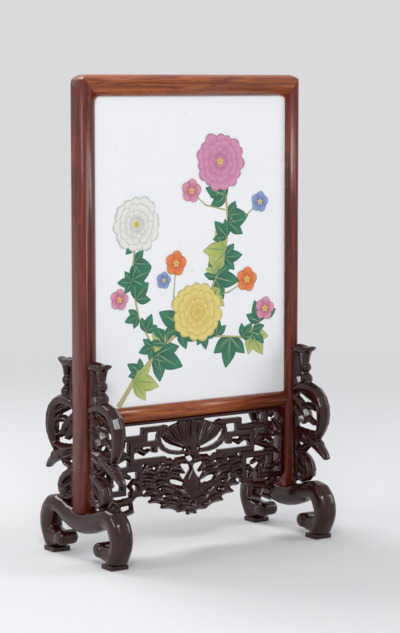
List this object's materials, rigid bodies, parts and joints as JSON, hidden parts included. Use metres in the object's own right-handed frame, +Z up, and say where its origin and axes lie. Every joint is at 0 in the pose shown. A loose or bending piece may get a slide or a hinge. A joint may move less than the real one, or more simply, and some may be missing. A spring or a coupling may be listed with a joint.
{
  "type": "porcelain plaque table screen",
  "caption": "Rectangular porcelain plaque in a rosewood frame on scroll feet, with carved brackets and a pierced apron.",
  "frame": {"origin": "on the ground, midway between the four toes", "axes": "+Z up, the painted front of the plaque faces -Y, +X to the right seen from the front"},
  "size_m": [0.403, 0.2178, 0.7],
  "materials": {
    "rosewood_frame": "polished and waxed rosewood, orange brown with dark pores",
    "carved_rosewood": "dark red-black polished carved rosewood",
    "porcelain": "clear glossy glaze with overglaze enamels",
    "back_wood": "plain planed board, oiled",
    "bamboo": "split bamboo pegs, cut flush",
    "brass": "dull old brass"
  },
  "bodies": {
    "root": {"left_stile": "rosewood_frame", "right_stile": "rosewood_frame", "top_rail": "rosewood_frame", "bottom_rail": "rosewood_frame", "porcelain_plaque": "porcelain", "back_board": "back_wood", "fillet_left": "rosewood_frame", "fillet_right": "rosewood_frame", "fillet_top": "rosewood_frame", "fillet_bottom": "rosewood_frame", "fillet_pin_1": "brass", "fillet_pin_2": "brass", "fillet_pin_3": "brass", "fillet_pin_4": "brass", "fillet_pin_5": "brass", "fillet_pin_6": "brass", "fillet_pin_7": "brass", "fillet_pin_8": "brass", "fillet_pin_9": "brass", "fillet_pin_10": "brass", "back_batten_lower": "back_wood", "back_batten_upper": "back_wood", "carved_apron": "carved_rosewood", "spandrel_left_front": "carved_rosewood", "spandrel_left_back": "carved_rosewood", "spandrel_right_front": "carved_rosewood", "spandrel_right_back": "carved_rosewood", "foot_left": "carved_rosewood", "toe_pad_left_front": "carved_rosewood", "toe_pad_left_back": "carved_rosewood", "foot_right": "carved_rosewood", "toe_pad_right_front": "carved_rosewood", "toe_pad_right_back": "carved_rosewood", "mitre_peg_left": "bamboo", "rail_peg_left": "bamboo", "foot_peg_left": "bamboo", "dowel_left_front_1": "bamboo", "dowel_left_front_2": "bamboo", "dowel_left_back_1": "bamboo", "dowel_left_back_2": "bamboo", "mitre_peg_right": "bamboo", "rail_peg_right": "bamboo", "foot_peg_right": "bamboo", "dowel_right_front_1": "bamboo", "dowel_right_front_2": "bamboo", "dowel_right_back_1": "bamboo", "dowel_right_back_2": "bamboo"}
  },
  "joints": []
}
